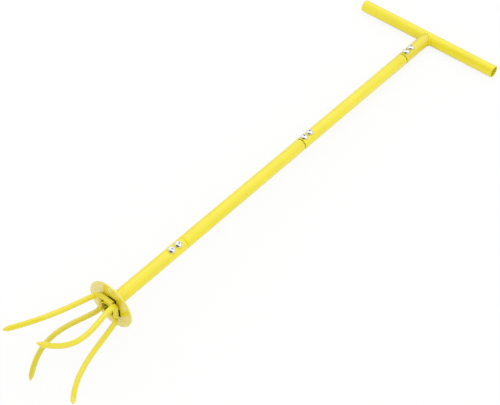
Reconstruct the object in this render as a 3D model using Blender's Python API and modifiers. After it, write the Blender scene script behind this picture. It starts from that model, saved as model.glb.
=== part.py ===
"""Twist tiller: a T handle, two shaft tubes and a clawed head that screw together end to end.

The tool is modelled along its own axis: +X runs up the shaft to the handle, +Z is the side
the screws enter from, and X = 0 is the underside of the depth disc. The empty tool_axis then
lays the whole tool down, on the cross handle and the lowest tine, on the plane Z = 0.
Units are metres.
"""

import math

import bmesh
import bpy
from mathutils import Matrix, Vector

# Driving dimensions: tubes
TUBE_OD = 0.024
TUBE_WALL = 0.0015
CROSS_HANDLE_LENGTH = 0.310
UPPER_SHAFT_SHOWN = 0.319
LOWER_SHAFT_SHOWN = 0.318
HEAD_SOCKET_SHOWN = 0.1686
HANDLE_SOCKET_SHOWN = 0.087

# Driving dimensions: swaged ends, which slide into the next tube
SWAGE_LENGTH = 0.045
SWAGE_TAPER = 0.0024
SWAGE_PLAY = 0.0003

# Driving dimensions: depth disc and tines
DISC_DIAMETER = 0.090
DISC_THICKNESS = 0.003
DISC_EDGE_ROUND = 0.0008
DISC_HOLE_CHAMFER = 0.002
TINE_ROD = 0.009
TINE_COUNT = 4
TINE_TIP_ROD = 0.0032
TINE_POINT_LENGTH = 0.010
TINE_POINT_ROUNDNESS = 1.5

# One tine in its own frame: x along its bar, y away from the shaft, z down from the disc.
TINE_KNEE = 0.0195
TINE_BEND_RADIUS = 0.0118
TINE_LEG_DIRECTION = (0.115, 0.25, 0.95)
TINE_TIP = (0.073, 0.0275, 0.158)
TINE_TIP_DIRECTION = (0.73, -0.37, 0.67)
TINE_LEG_PULL = 0.046
TINE_TIP_PULL = 0.081
# The rods are bent by hand: how far each tip lies from the first one's place.
TINE_TIP_OFFSETS = ((0, 0, 0), (-0.002, -0.0165, 0.0015), (0.002, 0, 0), (-0.004, 0.0015, -0.003))

# Driving dimensions: screws and nuts
SCREW_DIAMETER = 0.006
SCREW_LENGTH = 0.012
SCREW_HEAD_DIAMETER = 0.013
SCREW_HEAD_HEIGHT = 0.0042
# From the crown down, as shares of the head's radius and height
SCREW_HEAD_OUTLINE = ((0, 1), (0.42, 0.97), (0.74, 0.82), (0.93, 0.55), (1, 0.25), (0.98, 0))
SCREW_TIP_CHAMFER = 0.00075
SCREW_SPACING = 0.016
SCREW_HOLE_PLAY = 0.0003
RECESS_WIDTH = 0.0016
RECESS_SPAN = 0.0062
RECESS_DEPTH = 0.0024
RECESS_FLOOR_SHARE = 0.45
NUT_ACROSS_FLATS = 0.010
NUT_HEIGHT = 0.005
TOP_SCREW_INSET = 0.0097
MIDDLE_SCREW_INSET = 0.0078
LOWER_SCREW_INSET = 0.0140
HEAD_TURN = math.radians(14)

# Driving dimensions: welds and clearances
HANDLE_WELD_SIZE = 0.0024
HANDLE_WELD_CROWN_SIZE = 0.0015
HANDLE_WELD_CROWN_SETBACK = 0.003
# The bead stops this far short of the underside on each side, so that the tool lies on its tubes.
HANDLE_WELD_OPENING = math.radians(30)
HANDLE_WELD_RUN_OUT = math.radians(25)
HANDLE_WELD_END_SIZE = 0.001
DISC_WELD_HEIGHT = 0.0026
DISC_WELD_HOLLOW_SHARE = 0.42
GAP = 0.0003

# Mesh fineness
TUBE_SIDES = 48
SCREW_SIDES = 20
HOLE_SIDES = 20
DISC_EDGE_STEPS = 3
TINE_BEVEL_RESOLUTION = 4
WELD_BEVEL_RESOLUTION = 2
WELD_POINTS = 44
BEND_STEPS = 8
LEG_STEPS = 22
POINT_STEPS = 3
TILT_PASSES = 4
MERGE_DISTANCE = 0.000001

# Colours and finish
PAINT_COLOUR = (0.84, 0.74, 0.07, 1)
ZINC_COLOUR = (0.72, 0.73, 0.74, 1)
PAINT_ROUGHNESS = 0.3
ZINC_ROUGHNESS = 0.28

# Worked out from the driving dimensions
TUBE_RADIUS = TUBE_OD / 2
TUBE_BORE = TUBE_RADIUS - TUBE_WALL
SWAGE_RADIUS = TUBE_BORE - SWAGE_PLAY
SWAGE_BORE = SWAGE_RADIUS - TUBE_WALL
SCREW_HOLE_RADIUS = SCREW_DIAMETER / 2 + SCREW_HOLE_PLAY
LOWER_SEAM = DISC_THICKNESS + HEAD_SOCKET_SHOWN
MIDDLE_SEAM = LOWER_SEAM + LOWER_SHAFT_SHOWN
TOP_SEAM = MIDDLE_SEAM + UPPER_SHAFT_SHOWN
HANDLE_AT = TOP_SEAM + HANDLE_SOCKET_SHOWN
BAR_OFFSET = TUBE_RADIUS + TINE_ROD / 2 + GAP
BAR_DEPTH = TINE_ROD / 2 + GAP
BAR_START = -(BAR_OFFSET - TINE_ROD / 2 - GAP)
TUBE_THROUGH = BAR_DEPTH + TINE_ROD / 2

# Each joint: the outer tube's mouth, which way its screws lie from it, the first screw's
# distance from the mouth, and how far the joint is turned about the shaft.
JOINTS = {
    "top": (TOP_SEAM, 1, TOP_SCREW_INSET, 0.0),
    "middle": (MIDDLE_SEAM, 1, MIDDLE_SCREW_INSET, 0.0),
    "lower": (LOWER_SEAM, -1, LOWER_SCREW_INSET, HEAD_TURN),
}


def clear_scene():
    for thing in list(bpy.data.objects):
        bpy.data.objects.remove(thing, do_unlink=True)


def new_collection(name):
    collection = bpy.data.collections.new(name)
    bpy.context.scene.collection.children.link(collection)
    return collection


def new_material(name, colour, roughness, metallic):
    material = bpy.data.materials.new(name)
    material.use_nodes = True
    shader = material.node_tree.nodes["Principled BSDF"]
    shader.inputs["Base Color"].default_value = colour
    shader.inputs["Roughness"].default_value = roughness
    shader.inputs["Metallic"].default_value = metallic
    return material


def along_shaft(x, turn=0.0, height=0.0):
    """A place on the shaft: x up it, turned about it, and so far out from its middle."""
    return Matrix.Rotation(turn, 4, "X") @ Matrix.Translation((x, 0, height))


def lying_along_x(x=0.0):
    """Turns a shape made along Z to lie along the shaft, from x onwards."""
    return Matrix.Translation((x, 0, 0)) @ Matrix.Rotation(math.pi / 2, 4, "Y")


def across_handle(y):
    """Turns a shape made along Z to lie along the cross handle, from y onwards towards -Y."""
    return Matrix.Translation((HANDLE_AT, y, 0)) @ Matrix.Rotation(math.pi / 2, 4, "X")


def add_object(name, data, place, material=None):
    thing = bpy.data.objects.new(name, data)
    thing.parent = TOOL_AXIS
    thing.matrix_basis = place
    PARTS.objects.link(thing)
    if material:
        thing.data.materials.append(material)
    return thing


def add_cutter(thing):
    """Moves a shape to the cutters, where it cuts and isn't part of the tool."""
    PARTS.objects.unlink(thing)
    CUTTERS.objects.link(thing)
    thing.hide_render = True
    thing.display_type = "WIRE"
    return thing


def cut(thing, cutter):
    modifier = thing.modifiers.new("cut_" + cutter.name, "BOOLEAN")
    modifier.operation = "DIFFERENCE"
    modifier.solver = "EXACT"
    modifier.object = cutter


def turned(name, profile, place, material, sides, closed=True):
    """A profile of (radius, height) points, running down its outer side, turned about Z."""
    mesh = bpy.data.meshes.new(name)
    points = [(radius, 0, height) for radius, height in profile]
    edges = [(i, i + 1) for i in range(len(points) - 1)]
    if closed:
        edges.append((len(points) - 1, 0))
    mesh.from_pydata(points, edges, [])
    thing = add_object(name, mesh, place, material)
    screw = thing.modifiers.new("turn", "SCREW")
    screw.steps = sides
    screw.render_steps = sides
    screw.use_merge_vertices = True
    screw.merge_threshold = MERGE_DISTANCE
    screw.use_smooth_shade = True
    return thing


def cylinder(name, radius, length, place, sides, material=None):
    """A plain cylinder standing on its place, along its own Z."""
    bpy.ops.mesh.primitive_cylinder_add(vertices=sides, radius=radius, depth=length)
    made = bpy.context.object
    mesh = made.data
    bpy.data.objects.remove(made)
    mesh.transform(Matrix.Translation((0, 0, length / 2)))
    return add_object(name, mesh, place, material)


def tube_profile(bottom, top):
    """The wall of a plain tube from bottom to top."""
    return [
        (TUBE_RADIUS, top),
        (TUBE_RADIUS, bottom),
        (TUBE_BORE, bottom),
        (TUBE_BORE, top),
    ]


def swaged_top(shoulder):
    """Inner and outer points of an end that narrows above the shoulder, inner side first."""
    neck = shoulder + SWAGE_TAPER
    inner = [(TUBE_BORE, shoulder), (SWAGE_BORE, neck), (SWAGE_BORE, shoulder + SWAGE_LENGTH)]
    outer = [(SWAGE_RADIUS, shoulder + SWAGE_LENGTH), (SWAGE_RADIUS, neck), (TUBE_RADIUS, shoulder)]
    return inner + outer


def swaged_bottom(shoulder):
    """The same for an end that narrows below the shoulder, outer side first."""
    neck = shoulder - SWAGE_TAPER
    outer = [(TUBE_RADIUS, shoulder), (SWAGE_RADIUS, neck), (SWAGE_RADIUS, shoulder - SWAGE_LENGTH)]
    inner = [(SWAGE_BORE, shoulder - SWAGE_LENGTH), (SWAGE_BORE, neck), (TUBE_BORE, shoulder)]
    return outer + inner


def screw_places(joint):
    """Where a joint's two screws cross the shaft, and the joint's turn."""
    mouth, side, inset, turn = JOINTS[joint]
    return [(mouth + side * (inset + i * SCREW_SPACING), turn) for i in range(2)]


def drill(tube, joint):
    """Cuts a joint's two screw holes through the upper wall of a tube."""
    for number, (x, turn) in enumerate(screw_places(joint), start=1):
        name = "{}_{}_drill_{}".format(tube.name, joint, number)
        bit = cylinder(name, SCREW_HOLE_RADIUS, TUBE_OD, along_shaft(x, turn), HOLE_SIDES)
        cut(tube, add_cutter(bit))


def make_cross_handle(paint):
    half = CROSS_HANDLE_LENGTH / 2
    return turned("cross_handle", tube_profile(-half, half), across_handle(0), paint, TUBE_SIDES)


def make_handle_socket(paint):
    """The short tube under the handle, its top end cut to fit round the cross tube."""
    profile = tube_profile(TOP_SEAM, HANDLE_AT)
    socket = turned("handle_socket", profile, lying_along_x(), paint, TUBE_SIDES)
    mouth = cylinder("socket_mouth", TUBE_RADIUS + GAP, 2 * TUBE_OD, across_handle(TUBE_OD), TUBE_SIDES)
    cut(socket, add_cutter(mouth))
    drill(socket, "top")
    return socket


def saddle_line():
    """The line where the socket meets the cross handle, rounded at its crown, and the bead's size.

    It starts beside the underside, runs over the top and ends beside the underside again.
    """
    points = []
    sizes = []
    half_span = math.pi - HANDLE_WELD_OPENING
    for i in range(WELD_POINTS + 1):
        from_top = half_span * (2 * i / WELD_POINTS - 1)
        sideways = math.sin(from_top)
        reach = math.hypot(TUBE_RADIUS * sideways, HANDLE_WELD_CROWN_SETBACK)
        points.append((HANDLE_AT - reach, TUBE_RADIUS * sideways, TUBE_RADIUS * math.cos(from_top)))
        full = HANDLE_WELD_CROWN_SIZE + (HANDLE_WELD_SIZE - HANDLE_WELD_CROWN_SIZE) * abs(sideways)
        share = min(1, (half_span - abs(from_top)) / HANDLE_WELD_RUN_OUT)
        size = HANDLE_WELD_END_SIZE + (full - HANDLE_WELD_END_SIZE) * share
        sizes.append(size / HANDLE_WELD_SIZE)
    return points, sizes


def rod_curve(name, points, radii, thickness, resolution):
    curve = bpy.data.curves.new(name, "CURVE")
    curve.dimensions = "3D"
    curve.bevel_depth = thickness / 2
    curve.bevel_resolution = resolution
    curve.use_fill_caps = True
    spline = curve.splines.new("POLY")
    spline.points.add(len(points) - 1)
    for target, point, radius in zip(spline.points, points, radii):
        target.co = (*point, 1)
        target.radius = radius
    return curve


def join_caps(mesh):
    """Joins the loose caps of a curve's mesh to its sides."""
    shape = bmesh.new()
    shape.from_mesh(mesh)
    bmesh.ops.remove_doubles(shape, verts=shape.verts, dist=MERGE_DISTANCE)
    shape.to_mesh(mesh)
    shape.free()


def make_handle_weld(paint):
    """The bead round the socket's mouth, clear of both tubes by the gap and open at the underside."""
    points, sizes = saddle_line()
    curve = rod_curve("bead", points, sizes, 2 * HANDLE_WELD_SIZE, WELD_BEVEL_RESOLUTION)
    swept = add_object("bead", curve, Matrix.Identity(4))
    bpy.context.view_layer.update()
    evaluated = swept.evaluated_get(bpy.context.evaluated_depsgraph_get())
    mesh = bpy.data.meshes.new_from_object(evaluated)
    bpy.data.objects.remove(swept)
    join_caps(mesh)
    weld = add_object("handle_weld", mesh, Matrix.Identity(4), paint)
    radius = TUBE_RADIUS + GAP
    length = 2 * TUBE_OD
    cut(weld, add_cutter(cylinder("weld_handle_side", radius, length, across_handle(TUBE_OD), TUBE_SIDES)))
    below = lying_along_x(HANDLE_AT - length)
    cut(weld, add_cutter(cylinder("weld_socket_side", radius, length, below, TUBE_SIDES)))
    return weld


def make_upper_shaft(paint):
    profile = [(TUBE_RADIUS, MIDDLE_SEAM), (TUBE_BORE, MIDDLE_SEAM)]
    profile += swaged_top(TOP_SEAM - GAP - SWAGE_TAPER)
    shaft = turned("upper_shaft", profile, lying_along_x(), paint, TUBE_SIDES)
    drill(shaft, "middle")
    drill(shaft, "top")
    return shaft


def make_lower_shaft(paint):
    profile = swaged_bottom(LOWER_SEAM + GAP + SWAGE_TAPER)
    profile += swaged_top(MIDDLE_SEAM - GAP - SWAGE_TAPER)
    shaft = turned("lower_shaft", profile, lying_along_x(), paint, TUBE_SIDES)
    drill(shaft, "lower")
    drill(shaft, "middle")
    return shaft


def make_head_socket(paint):
    profile = tube_profile(-TUBE_THROUGH, LOWER_SEAM)
    socket = turned("head_socket", profile, lying_along_x(), paint, TUBE_SIDES)
    drill(socket, "lower")
    return socket


def make_depth_disc(paint):
    """The disc. Its hole is chamfered above, for the weld, and the whole ring outside that is free."""
    hole = TUBE_RADIUS + GAP
    inner = DISC_DIAMETER / 2 - DISC_EDGE_ROUND
    angles = [math.pi / 2 * i / DISC_EDGE_STEPS for i in range(DISC_EDGE_STEPS + 1)]
    out = [DISC_EDGE_ROUND * math.sin(angle) for angle in angles]
    top = DISC_THICKNESS - DISC_EDGE_ROUND
    upper = [(inner + a, top + b) for a, b in zip(out, reversed(out))]
    lower = [(inner + a, DISC_EDGE_ROUND - b) for a, b in zip(reversed(out), out)]
    chamfer = [(hole, DISC_THICKNESS - DISC_HOLE_CHAMFER), (hole + DISC_HOLE_CHAMFER, DISC_THICKNESS)]
    profile = chamfer + upper + lower + [(hole, 0)]
    return turned("depth_disc", profile, lying_along_x(), paint, TUBE_SIDES)


def make_disc_weld(paint):
    """The bead that fills the disc's chamfer and climbs the tube that passes through it."""
    wall = TUBE_RADIUS + GAP
    width = DISC_HOLE_CHAMFER - GAP
    lift = GAP * math.sqrt(2)
    root = DISC_THICKNESS - DISC_HOLE_CHAMFER + lift
    toe = root + width
    profile = [
        (wall, DISC_THICKNESS + DISC_WELD_HEIGHT),
        (wall + width * DISC_WELD_HOLLOW_SHARE, toe + DISC_WELD_HEIGHT * DISC_WELD_HOLLOW_SHARE),
        (wall + width, toe),
        (wall, root),
    ]
    return turned("disc_weld", profile, lying_along_x(), paint, TUBE_SIDES)


def knee_arc(knee, out_direction):
    """Points round the bend from the bar, which runs along +x, to the leg."""
    bar_direction = Vector((1, 0, 0))
    turn = bar_direction.angle(out_direction)
    setback = TINE_BEND_RADIUS * math.tan(turn / 2)
    start = knee - bar_direction * setback
    inward = (out_direction - bar_direction * out_direction.dot(bar_direction)).normalized()
    points = []
    for i in range(BEND_STEPS + 1):
        angle = turn * i / BEND_STEPS
        forward = TINE_BEND_RADIUS * math.sin(angle)
        across = TINE_BEND_RADIUS * (1 - math.cos(angle))
        points.append(start + bar_direction * forward + inward * across)
    return points


def bezier_point(p0, p1, p2, p3, t):
    s = 1 - t
    return p0 * s ** 3 + p1 * 3 * s * s * t + p2 * 3 * s * t * t + p3 * t ** 3


def tine_line(offset):
    """The middle line of one tine: its bar, its bend and its curved leg."""
    offset = Vector(offset)
    out_direction = (Vector(TINE_LEG_DIRECTION).normalized() * TINE_LEG_PULL + offset / 3).normalized()
    knee = Vector((TINE_KNEE, BAR_OFFSET, BAR_DEPTH))
    points = [Vector((BAR_START, BAR_OFFSET, BAR_DEPTH))]
    points += knee_arc(knee, out_direction)
    ankle = points[-1]
    tip = Vector(TINE_TIP) + offset
    leg_pull = ankle + out_direction * TINE_LEG_PULL
    tip_pull = tip - Vector(TINE_TIP_DIRECTION).normalized() * TINE_TIP_PULL - offset / 3
    for i in range(1, LEG_STEPS + 1):
        points.append(bezier_point(ankle, leg_pull, tip_pull, tip, i / LEG_STEPS))
    return points


def pointed(points):
    """Ends the line with closer points, and gives the rod's width at each, down to the tip."""
    tip = points[-1]
    body = [point for point in points if (point - tip).length > TINE_POINT_LENGTH]
    back = (points[-2] - tip).normalized()
    radii = [1.0] * len(body)
    for i in range(POINT_STEPS + 1):
        share = i / POINT_STEPS
        body.append(tip + back * TINE_POINT_LENGTH * (1 - share))
        width = TINE_ROD + (TINE_TIP_ROD - TINE_ROD) * share ** TINE_POINT_ROUNDNESS
        radii.append(width / TINE_ROD)
    return body, radii


def tine_points(number):
    """A tine's middle line in the tool's frame, and its radius at each point."""
    points, radii = pointed(tine_line(TINE_TIP_OFFSETS[number]))
    turn = Matrix.Rotation(2 * math.pi * number / TINE_COUNT, 3, "X")
    return [turn @ Vector((-p.z, p.x, p.y)) for p in points], radii


def make_tine(number, paint):
    name = "tine_{}".format(number + 1)
    points, radii = tine_points(number)
    curve = rod_curve(name, points, radii, TINE_ROD, TINE_BEVEL_RESOLUTION)
    return add_object(name, curve, Matrix.Identity(4), paint)


def make_screw(name, place, zinc, recess):
    """A pan-head screw: origin under its head, with a cross recess in the top."""
    shank = SCREW_DIAMETER / 2
    head = [(SCREW_HEAD_DIAMETER / 2 * across, SCREW_HEAD_HEIGHT * up) for across, up in SCREW_HEAD_OUTLINE]
    shaft = [
        (shank, 0),
        (shank, SCREW_TIP_CHAMFER - SCREW_LENGTH),
        (shank - SCREW_TIP_CHAMFER, -SCREW_LENGTH),
        (0, -SCREW_LENGTH),
    ]
    screw = turned(name, head + shaft, place, zinc, SCREW_SIDES, closed=False)
    for number, mesh in enumerate(recess, start=1):
        cutter = add_object("{}_recess_{}".format(name, number), mesh, place)
        cut(screw, add_cutter(cutter))
    return screw


def recess_blade(turn):
    """One of the two crossed blades of the recess, shorter at its floor."""
    bpy.ops.mesh.primitive_cube_add(size=1)
    made = bpy.context.object
    mesh = made.data
    bpy.data.objects.remove(made)
    for vertex in mesh.vertices:
        vertex.co.x *= RECESS_SPAN * (RECESS_FLOOR_SHARE if vertex.co.z < 0 else 1)
        vertex.co.y *= RECESS_WIDTH
        vertex.co.z = SCREW_HEAD_HEIGHT + 2 * RECESS_DEPTH * vertex.co.z
    mesh.transform(Matrix.Rotation(turn, 4, "Z"))
    return mesh


def make_nut(name, place, zinc, bore):
    """A hexagon nut with two flats along the shaft, its origin in its upper face."""
    radius = NUT_ACROSS_FLATS / 2 / math.cos(math.pi / 6)
    mesh_place = Matrix.Translation((0, 0, -NUT_HEIGHT)) @ Matrix.Rotation(math.pi / 2, 4, "Z")
    nut = cylinder(name, radius, NUT_HEIGHT, place, 6, zinc)
    nut.data.transform(mesh_place)
    cutter = add_object(name + "_bore", bore, place)
    cut(nut, add_cutter(cutter))
    return nut


def nut_bore():
    bpy.ops.mesh.primitive_cylinder_add(vertices=HOLE_SIDES, radius=SCREW_HOLE_RADIUS, depth=4 * NUT_HEIGHT)
    made = bpy.context.object
    mesh = made.data
    bpy.data.objects.remove(made)
    return mesh


def make_fasteners(zinc):
    recess = [recess_blade(0), recess_blade(math.pi / 2)]
    bore = nut_bore()
    seat = math.sqrt(SWAGE_BORE ** 2 - (NUT_ACROSS_FLATS / 2) ** 2) - GAP
    for joint in JOINTS:
        for number, (x, turn) in enumerate(screw_places(joint), start=1):
            screw_place = along_shaft(x, turn, TUBE_RADIUS + GAP)
            make_screw("{}_screw_{}".format(joint, number), screw_place, zinc, recess)
            nut_place = along_shaft(x, turn, seat)
            make_nut("{}_nut_{}".format(joint, number), nut_place, zinc, bore)


def half_width(radius, direction, axis):
    """How far a rod's round section reaches along an axis."""
    return radius * math.sqrt(max(0, 1 - direction.dot(axis) ** 2))


def resting_tilt(samples):
    """The angle that brings the lowest tine as low as the cross handle."""
    tilt = 0
    for _ in range(TILT_PASSES):
        upwards = Vector((-math.sin(tilt), 0, math.cos(tilt)))
        tilts = []
        for point, direction, radius in samples:
            along = HANDLE_AT - point.x
            below = -point.z
            sink = half_width(radius, direction, upwards) - TUBE_RADIUS
            tilts.append(math.atan2(below, along) + math.asin(sink / math.hypot(along, below)))
        tilt = max(tilts)
    return tilt


def tine_samples():
    """Every point of every tine, with its direction and radius."""
    samples = []
    for number in range(TINE_COUNT):
        points, radii = tine_points(number)
        for i, (point, radius) in enumerate(zip(points, radii)):
            near = points[i - 1] if i else points[1]
            samples.append((point, (point - near).normalized(), radius * TINE_ROD / 2))
    return samples


def lay_down():
    """Tilts the tool onto the plane Z = 0, with the middle of its length and width at the origin."""
    samples = tine_samples()
    turn = Matrix.Rotation(resting_tilt(samples), 3, "Y")
    handle = turn @ Vector((HANDLE_AT, 0, 0))
    forwards = Vector((1, 0, 0))
    ends = [(turn @ point).x - half_width(radius, turn @ direction, forwards)
            for point, direction, radius in samples]
    middle = (min(ends) + handle.x + TUBE_RADIUS) / 2
    TOOL_AXIS.matrix_basis = Matrix.Translation((-middle, 0, TUBE_RADIUS - handle.z)) @ turn.to_4x4()


def main():
    paint = new_material("yellow_paint", PAINT_COLOUR, PAINT_ROUGHNESS, 0)
    zinc = new_material("zinc_plate", ZINC_COLOUR, ZINC_ROUGHNESS, 1)
    lay_down()
    make_cross_handle(paint)
    make_handle_socket(paint)
    make_handle_weld(paint)
    make_upper_shaft(paint)
    make_lower_shaft(paint)
    make_head_socket(paint)
    make_disc_weld(paint)
    make_depth_disc(paint)
    for number in range(TINE_COUNT):
        make_tine(number, paint)
    make_fasteners(zinc)
    bpy.context.view_layer.update()


clear_scene()
PARTS = new_collection("twist_tiller")
CUTTERS = new_collection("cutters")
TOOL_AXIS = bpy.data.objects.new("tool_axis", None)
PARTS.objects.link(TOOL_AXIS)
main()
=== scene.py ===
"""Twist tiller: the finish of every surface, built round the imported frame.

The tool lies on a pale floor, on its cross handle and its lowest tine. Shapes are made along the
tool's own axis, with +X up the shaft from the disc's underside and +Z the side that the screws
face, and are then placed in the frame. Units are metres.
"""
import math

import bmesh
import bpy
from mathutils import Matrix, Quaternion, Vector


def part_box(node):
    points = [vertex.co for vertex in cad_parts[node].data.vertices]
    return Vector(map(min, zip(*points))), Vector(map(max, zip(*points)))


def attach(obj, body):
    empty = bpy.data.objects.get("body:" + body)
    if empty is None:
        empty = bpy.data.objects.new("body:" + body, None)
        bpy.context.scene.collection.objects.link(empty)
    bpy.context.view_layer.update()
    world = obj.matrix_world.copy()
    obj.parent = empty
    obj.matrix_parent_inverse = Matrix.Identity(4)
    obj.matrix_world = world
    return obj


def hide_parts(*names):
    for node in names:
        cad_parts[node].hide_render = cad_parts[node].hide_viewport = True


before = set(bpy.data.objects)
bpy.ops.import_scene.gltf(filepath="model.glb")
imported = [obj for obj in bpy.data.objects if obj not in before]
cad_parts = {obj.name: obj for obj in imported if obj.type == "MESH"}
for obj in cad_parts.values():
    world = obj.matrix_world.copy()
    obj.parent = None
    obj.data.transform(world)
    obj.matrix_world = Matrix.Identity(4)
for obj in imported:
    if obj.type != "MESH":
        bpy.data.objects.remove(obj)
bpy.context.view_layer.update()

# Camera, as in the photograph
CAMERA_PLACE = (-1.0775, -0.9019, 1.6163)
CAMERA_AIM = (-0.1399, -0.0960, 0.1736)
CAMERA_ROLL = math.radians(-0.801)
CAMERA_LENS = 86.4
SENSOR_WIDTH = 36

# Light, where a level of 1 shows a surface as bright as its colour is written
KEY_FROM = (0.49, -0.39, 0.77)
KEY_LEVEL = 0.07
KEY_ANGLE = math.radians(56)
STUDIO_OVERHEAD = (1.08, 1.08, 1.08, 1)
STUDIO_HORIZON = (0.73, 0.73, 0.73, 1)
STUDIO_OVERHEAD_FROM = 0.8
# Only gloss mirrors these two: a dark card on the camera's side and a bright box beyond the tool.
# Edge and middle are cosines of the angle from a card's centre, where it starts and is full.
DARK_CARD = (0.04, 0.05, 0.07, 1)
DARK_CARD_FROM = (-0.78, -0.38, 0.50)
DARK_CARD_EDGE = 0.60
DARK_CARD_MIDDLE = 0.74
BRIGHT_BOX = (1.8, 1.8, 1.8, 1)
BRIGHT_BOX_FROM = (0.48, 0.32, 0.81)
BRIGHT_BOX_EDGE = 0.84
BRIGHT_BOX_MIDDLE = 0.98
FLOOR_SIZE = 40
FLOOR_DEPTH = 0.0002
FLOOR_OWN_LIGHT = 0.85
# The rays that see the floor lifted towards white, while gloss sees it as it is lit
SEEN_WHITE = ("Is Camera Ray", "Is Transmission Ray")

# Tubes
TUBE_OD = 0.024
TUBE_WALL = 0.0015
SWAGE_TAPER = 0.0024
SWAGE_PLAY = 0.0003
GAP = 0.0003
MOUTH_ROUND = 0.00045
BORE_ROUND = 0.0003
RIM_SEGMENTS = 4
SEAM_RIDGE_HEIGHT = 0.0003
NECK_STEPS = 6
TUBE_SIDES = 96
# Where the powder thins out inside a mouth and where it is gone: the depth plus the ragged edge's
# noise, which adds about half of BARE_EDGE_REACH
HANDLE_BARE_FROM = 0.015
HANDLE_BARE_BY = 0.022
# The head's mouth turns bare nearer its edge, so that its dark steel paints the shade inside the tube
HEAD_BARE_FROM = 0.0076
HEAD_BARE_BY = 0.0118
# The bottom of a seam's groove, painted dark as shade: nearer the tube's axis than this
GROOVE_PAINTED_SHADE_BELOW = 0.0112
# What part of a face's normal has to point that way
FACES_AXIS = 0.7
FACES_OUT_OF_GROOVE = 0.3
FACES_UP_SHAFT = 0.05
FACES_TINES = 0.9

# Disc
DISC_THICKNESS = 0.003
DISC_DIAMETER = 0.090
DISC_HOLE_CHAMFER = 0.002
DISC_DRAWN_ROUND = 0.0009
DISC_BURR_ROUND = 0.0004
DISC_SIDES = 160
# The strips of its underside that the bars shade, painted dark as shade, measured from a bar's middle line
CREVICE_INNER = 0.0046
CREVICE_OUTER = 0.0052
CREVICE_START = -0.0145
CREVICE_END = 0.003
CREVICE_SLANT = math.radians(4)

# Tines, in the frame of one tine: x along its bar, y away from the shaft, z down from the disc
TINE_ROD = 0.009
TINE_COUNT = 4
TINE_TIP_ROD = 0.0018
TINE_TIP_DOME = 0.0007
TINE_POINT_LENGTH = 0.010
TINE_POINT_ROUNDNESS = 1.25
TINE_KNEE = 0.0195
TINE_BEND_RADIUS = 0.0118
TINE_LEG_DIRECTION = (0.115, 0.25, 0.95)
TINE_TIP = (0.073, 0.0275, 0.158)
TINE_TIP_DIRECTION = (0.73, -0.37, 0.67)
TINE_LEG_PULL = 0.046
TINE_TIP_PULL = 0.081
TINE_TIP_OFFSETS = ((0, 0, 0), (-0.002, -0.0165, 0.0015), (0.002, 0, 0), (-0.004, 0.0015, -0.003))
TINE_CUT_CHAMFER = 0.0006
# The tine whose paint is darkened as painted shade
BACK_TINE = 4
TINE_SIDES = 32
BEND_STEPS = 18
LEG_STEPS = 56
POINT_STEPS = 8
DOME_STEPS = 4

# Welds
NECK_WELD_SIZE = 0.0024
NECK_WELD_CROWN_SIZE = 0.0012
NECK_WELD_CROWN_SETBACK = 0.003
NECK_WELD_OPENING = math.radians(30)
NECK_WELD_RUN_OUT = math.radians(25)
NECK_WELD_END_SIZE = 0.001
NECK_WELD_STEPS = 360
NECK_WELD_SIDES = 18
DISC_WELD_HEIGHT = 0.0026
DISC_WELD_REACH = 0.0022
DISC_WELD_STEPS = 10
DISC_WELD_SIDES = 288
WELD_RIPPLE = 0.0001
WELD_RIPPLE_LENGTH = 0.0016
WELD_SINK = 0.0003
WELD_SHARP = 50

# Screws
SCREW_DIAMETER = 0.006
SCREW_LENGTH = 0.012
SCREW_HEAD_DIAMETER = 0.013
SCREW_HEAD_HEIGHT = 0.0042
SCREW_TIP_CHAMFER = 0.00075
SCREW_HOLE_PLAY = 0.0003
HEAD_RIM_HEIGHT = 0.0009
HEAD_RIM_ROUND = 0.00025
HEAD_FULLNESS = 2.0
HEAD_ARC_STEPS = 14
RECESS_WIDTH = 0.0017
RECESS_SPAN = 0.0064
RECESS_DEPTH = 0.0024
RECESS_FLOOR_SHARE = 0.45
RECESS_FLOOR_WIDTH_SHARE = 0.7
RECESS_CONE_RADIUS = 0.0016
RECESS_ABOVE = 0.0006
RECESS_CONE_SIDES = 24
SCREW_SIDES = 64
HOLE_SIDES = 32
DRILL_REACH = 0.8

# Faces meeting at more degrees than this keep a hard edge
SHARP = 35

# Finishes: the sizes of their lumps, the depths of their relief, and rings in radians a metre
PAINT_DRIFT_SIZE = 0.05
PAINT_GLOSS_SIZE = 0.02
PAINT_RELIEF = 0.000018
LACQUER_ROUGHNESS = 0.12
BARE_EDGE_SIZE = 0.004
BARE_EDGE_REACH = 0.016
RUST_SIZE = 0.006
MILL_SCALE_SIZE = 0.0022
MILL_SCALE_RELIEF = 0.00008
# The size of the yellowish patches in the painted shade of the crevices
SHADE_PATCH_SIZE = 0.003
CREVICE_RELIEF = 0.00003
PLATING_CLOUD_SIZE = 0.003
PLATING_GRAIN_SIZE = 0.0006
PLATING_RELIEF = 0.00001
TURNING_RINGS = 24000.0

# Colours, as linear values
PAINT = (0.90, 0.785, 0.024, 1)
PAINT_SOCKET = (0.82, 0.69, 0.030, 1)
PAINT_DISC = (0.86, 0.70, 0.044, 1)
PAINT_TINES = (0.86, 0.745, 0.032, 1)
# The tines' yellow darkened as painted shade for the back tine
PAINT_BACK_TINE_SHADE = (0.75, 0.635, 0.036, 1)
PAINT_DEEP = (0.84, 0.71, 0.018, 1)
PAINT_THIN = (0.78, 0.63, 0.022, 1)
DUST = (0.80, 0.78, 0.70, 1)
# Bare steel, dark enough to stand in for the shade inside the tubes as well
MILL_STEEL = (0.060, 0.056, 0.050, 1)
RUST = (0.11, 0.055, 0.022, 1)
ZINC = (0.82, 0.84, 0.88, 1)
ZINC_DULL = (0.60, 0.63, 0.69, 1)
# Painted shade for the hollows of the screw heads
HOLLOW_SHADE = (0.030, 0.028, 0.024, 1)
FLOOR = (0.93, 0.93, 0.93, 1)
WHITE = (1, 1, 1, 1)
# Painted shade for the crevices beside the bars and the grooves of the seams
CREVICE_SHADE = (0.030, 0.020, 0.005, 1)

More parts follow.
